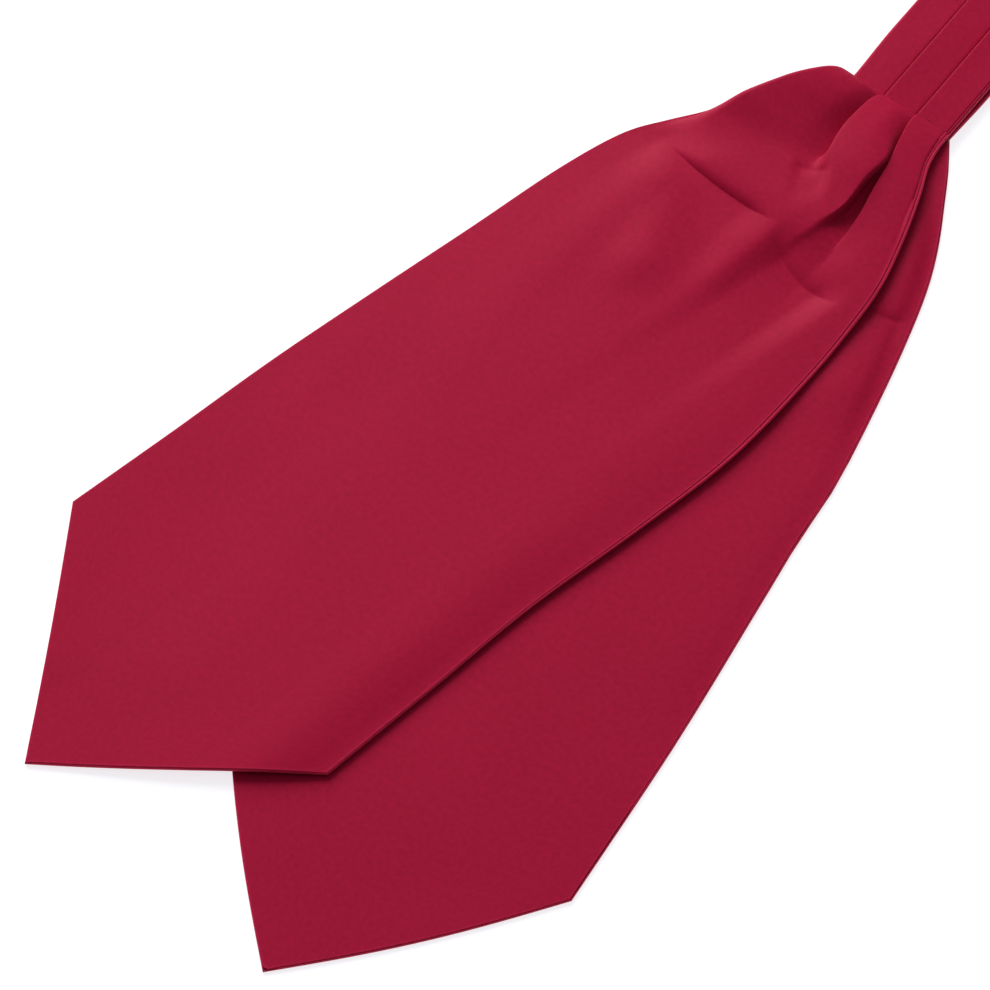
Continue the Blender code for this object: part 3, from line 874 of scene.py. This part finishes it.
# %% [markdown]
# ## Stitches
#
# The band is sewn to the blade with a row of fine stitches that shows on the third pleat. Each
# stitch is a short capsule, made once from a sphere and copied along the seam.

# %% Stitches
STITCH_LENGTH = 1.10
STITCH_WIDTH = 0.24
STITCH_PITCH = 1.60


def make_stitches(name, rows):
    """Rows of capsules, spaced evenly from the start of each row to its end."""
    bm = bmesh.new()
    count = 0
    for row in rows:
        start, end = Vector(row[:3]), Vector(row[3:])
        turn = (end - start).to_track_quat("X", "Z").to_matrix().to_4x4()
        shape = Matrix.Diagonal((STITCH_LENGTH / 2 * MM, STITCH_WIDTH / 2 * MM,
                                 STITCH_WIDTH / 2 * MM, 1))
        in_row = int((end - start).length / STITCH_PITCH)
        for number in range(in_row):
            place = Vector(to_frame(start.lerp(end, (number + 0.5) / in_row)))
            bmesh.ops.create_uvsphere(bm, u_segments=8, v_segments=5, radius=1.0,
                                      matrix=Matrix.Translation(place) @ turn @ shape)
        count += in_row
    for face in bm.faces:
        face.smooth = True
    mesh = bpy.data.meshes.new(name)
    bm.to_mesh(mesh)
    bm.free()
    stitched = bpy.data.objects.new(name, mesh)
    bpy.context.scene.collection.objects.link(stitched)
    print(name, count, "stitches")
    return stitched


SEAM_STITCHES = [
    # start x, y, z, end x, y, z
    (9.0, 1.25, 6.82, 22.3, 2.50, 5.84),
]
stitches = make_stitches("neck_seam_stitches", SEAM_STITCHES)

# %% [markdown]
# ## Satin
#
# Silk satin is smooth, with long warp floats that catch the light, so it looks matt when wide
# light falls on it and glows softly at the folds. The finish here is a Principled shader with a
# little sheen, a colour that varies slightly with the weave, and a very fine bump. Both follow
# the cloth through its UV map, which is laid out in metres of flat cloth. Near every hem the
# colour is painted lighter and pinker, a painted highlight for the light that the rolled edges
# catch.

# %% Shader helper


class Wire:
    """A socket with arithmetic, so that shader maths reads as sums."""

    def __init__(self, graph, socket):
        self.graph, self.socket = graph, socket

    def __add__(self, other):
        return self.graph.node("ShaderNodeMath", {"operation": "ADD"}, [self, other])

    def __mul__(self, other):
        return self.graph.node("ShaderNodeMath", {"operation": "MULTIPLY"}, [self, other])


class Graph:
    """A material's nodes; one method adds any node and joins it up."""

    def __init__(self, name):
        self.material = bpy.data.materials.new(name)
        self.material.use_nodes = True
        self.tree = self.material.node_tree
        self.shader = self.tree.nodes["Principled BSDF"]

    def node(self, kind, settings, values, output=0):
        made = self.tree.nodes.new(kind)
        for key, value in settings.items():
            if key == "stops":
                ramp = made.color_ramp
                ramp.elements[0].position, ramp.elements[0].color = value[0]
                ramp.elements[1].position, ramp.elements[1].color = value[1]
            else:
                setattr(made, key, value)
        pairs = values.items() if isinstance(values, dict) else enumerate(values)
        for key, value in pairs:
            self.set(made.inputs[key], value)
        return Wire(self, made.outputs[output])

    def set(self, socket, value):
        if isinstance(value, Wire):
            self.tree.links.new(value.socket, socket)
        else:
            socket.default_value = value


# %% Satin finish
SATIN_RED = (0.352, 0.0074, 0.0370, 1.0)
SATIN_DEEP = (0.272, 0.0050, 0.0265, 1.0)
# Lighter, pinker red painted along the hems as a highlight.
PAINTED_HEM_HIGHLIGHT = (0.62, 0.030, 0.090, 1.0)
SHEEN_PINK = (1.0, 0.2, 0.35, 1)
GLOSS_PINK = (1.0, 0.12, 0.25, 1)
THREAD_DEEP = (0.17, 0.006, 0.018, 1)
THREAD_RED = (0.26, 0.008, 0.028, 1)


def satin(name):
    graph = Graph(name)
    cloth = graph.node("ShaderNodeUVMap", {"uv_map": "cloth"}, [])
    floats = graph.node("ShaderNodeMapping", {}, {"Vector": cloth, "Scale": (2600, 900, 1)})
    weave = graph.node("ShaderNodeTexNoise", {}, {"Vector": floats, "Scale": 1.0, "Detail": 2.0})
    slubs = graph.node("ShaderNodeTexNoise", {}, {"Vector": cloth, "Scale": 420.0, "Detail": 4.0})
    drift = graph.node("ShaderNodeTexNoise", {}, {"Vector": cloth, "Scale": 14.0, "Detail": 2.0})
    tone = weave * 0.25 + slubs * 0.55 + drift * 0.2
    colour = graph.node("ShaderNodeValToRGB",
                        {"stops": [(0.30, SATIN_DEEP), (0.66, SATIN_RED)]}, [tone])
    # Painted highlight: near the hems the colour mixes towards a lighter, pinker red.
    hem = graph.node("ShaderNodeAttribute", {"attribute_name": "hem"}, [], output="Fac")
    hem_highlighted_colour = graph.node("ShaderNodeMix", {"data_type": "RGBA"},
                       {0: hem * 0.8, 6: colour, 7: PAINTED_HEM_HIGHLIGHT}, output=2)
    graph.set(graph.shader.inputs["Base Color"], hem_highlighted_colour)
    graph.set(graph.shader.inputs["Roughness"], weave * 0.12 + 0.44)
    bump = graph.node("ShaderNodeBump", {},
                      {"Strength": 0.25, "Distance": 0.00006, "Height": weave})
    graph.set(graph.shader.inputs["Normal"], bump)
    graph.set(graph.shader.inputs["Sheen Weight"], 0.02)
    graph.set(graph.shader.inputs["Sheen Roughness"], 0.45)
    graph.set(graph.shader.inputs["Sheen Tint"], SHEEN_PINK)
    graph.set(graph.shader.inputs["Specular IOR Level"], 0.12)
    graph.set(graph.shader.inputs["Specular Tint"], GLOSS_PINK)
    return graph.material


def thread(name):
    graph = Graph(name)
    place = graph.node("ShaderNodeTexCoord", {}, [], output="Object")
    twist = graph.node("ShaderNodeTexNoise", {}, {"Vector": place, "Scale": 6000.0})
    colour = graph.node("ShaderNodeValToRGB",
                        {"stops": [(0.3, THREAD_DEEP), (0.7, THREAD_RED)]}, [twist])
    graph.set(graph.shader.inputs["Base Color"], colour)
    graph.set(graph.shader.inputs["Roughness"], 0.6)
    return graph.material


satin_finish = satin("red_silk_satin")
for ply in (back_under, back_top, front_top, front_under, band):
    ply.data.materials.append(satin_finish)
stitches.data.materials.append(thread("seam_thread"))
print("satin and thread finishes")

# %% [markdown]
# ## Join the frame
#
# Every piece rides on the one body and stands for its packed wall, which is hidden. The cloth
# that shows spreads out flat to 158 mm wide and 455 mm long for a blade ply, with its corners cut
# off to a point, and to 55 mm wide for the band. The strip that the band is pleated from is about
# three times as wide as the band looks.

# %% Ride and replace
REPLACED = {
    back_under: "back_blade_face",
    back_top: "back_blade_backing",
    front_top: "front_blade_face",
    front_under: "front_blade_backing",
    band: "neckband",
}
for piece, node in REPLACED.items():
    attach(piece, "root")
    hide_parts(node)
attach(stitches, "root")

# %% Finish
bpy.context.view_layer.update()
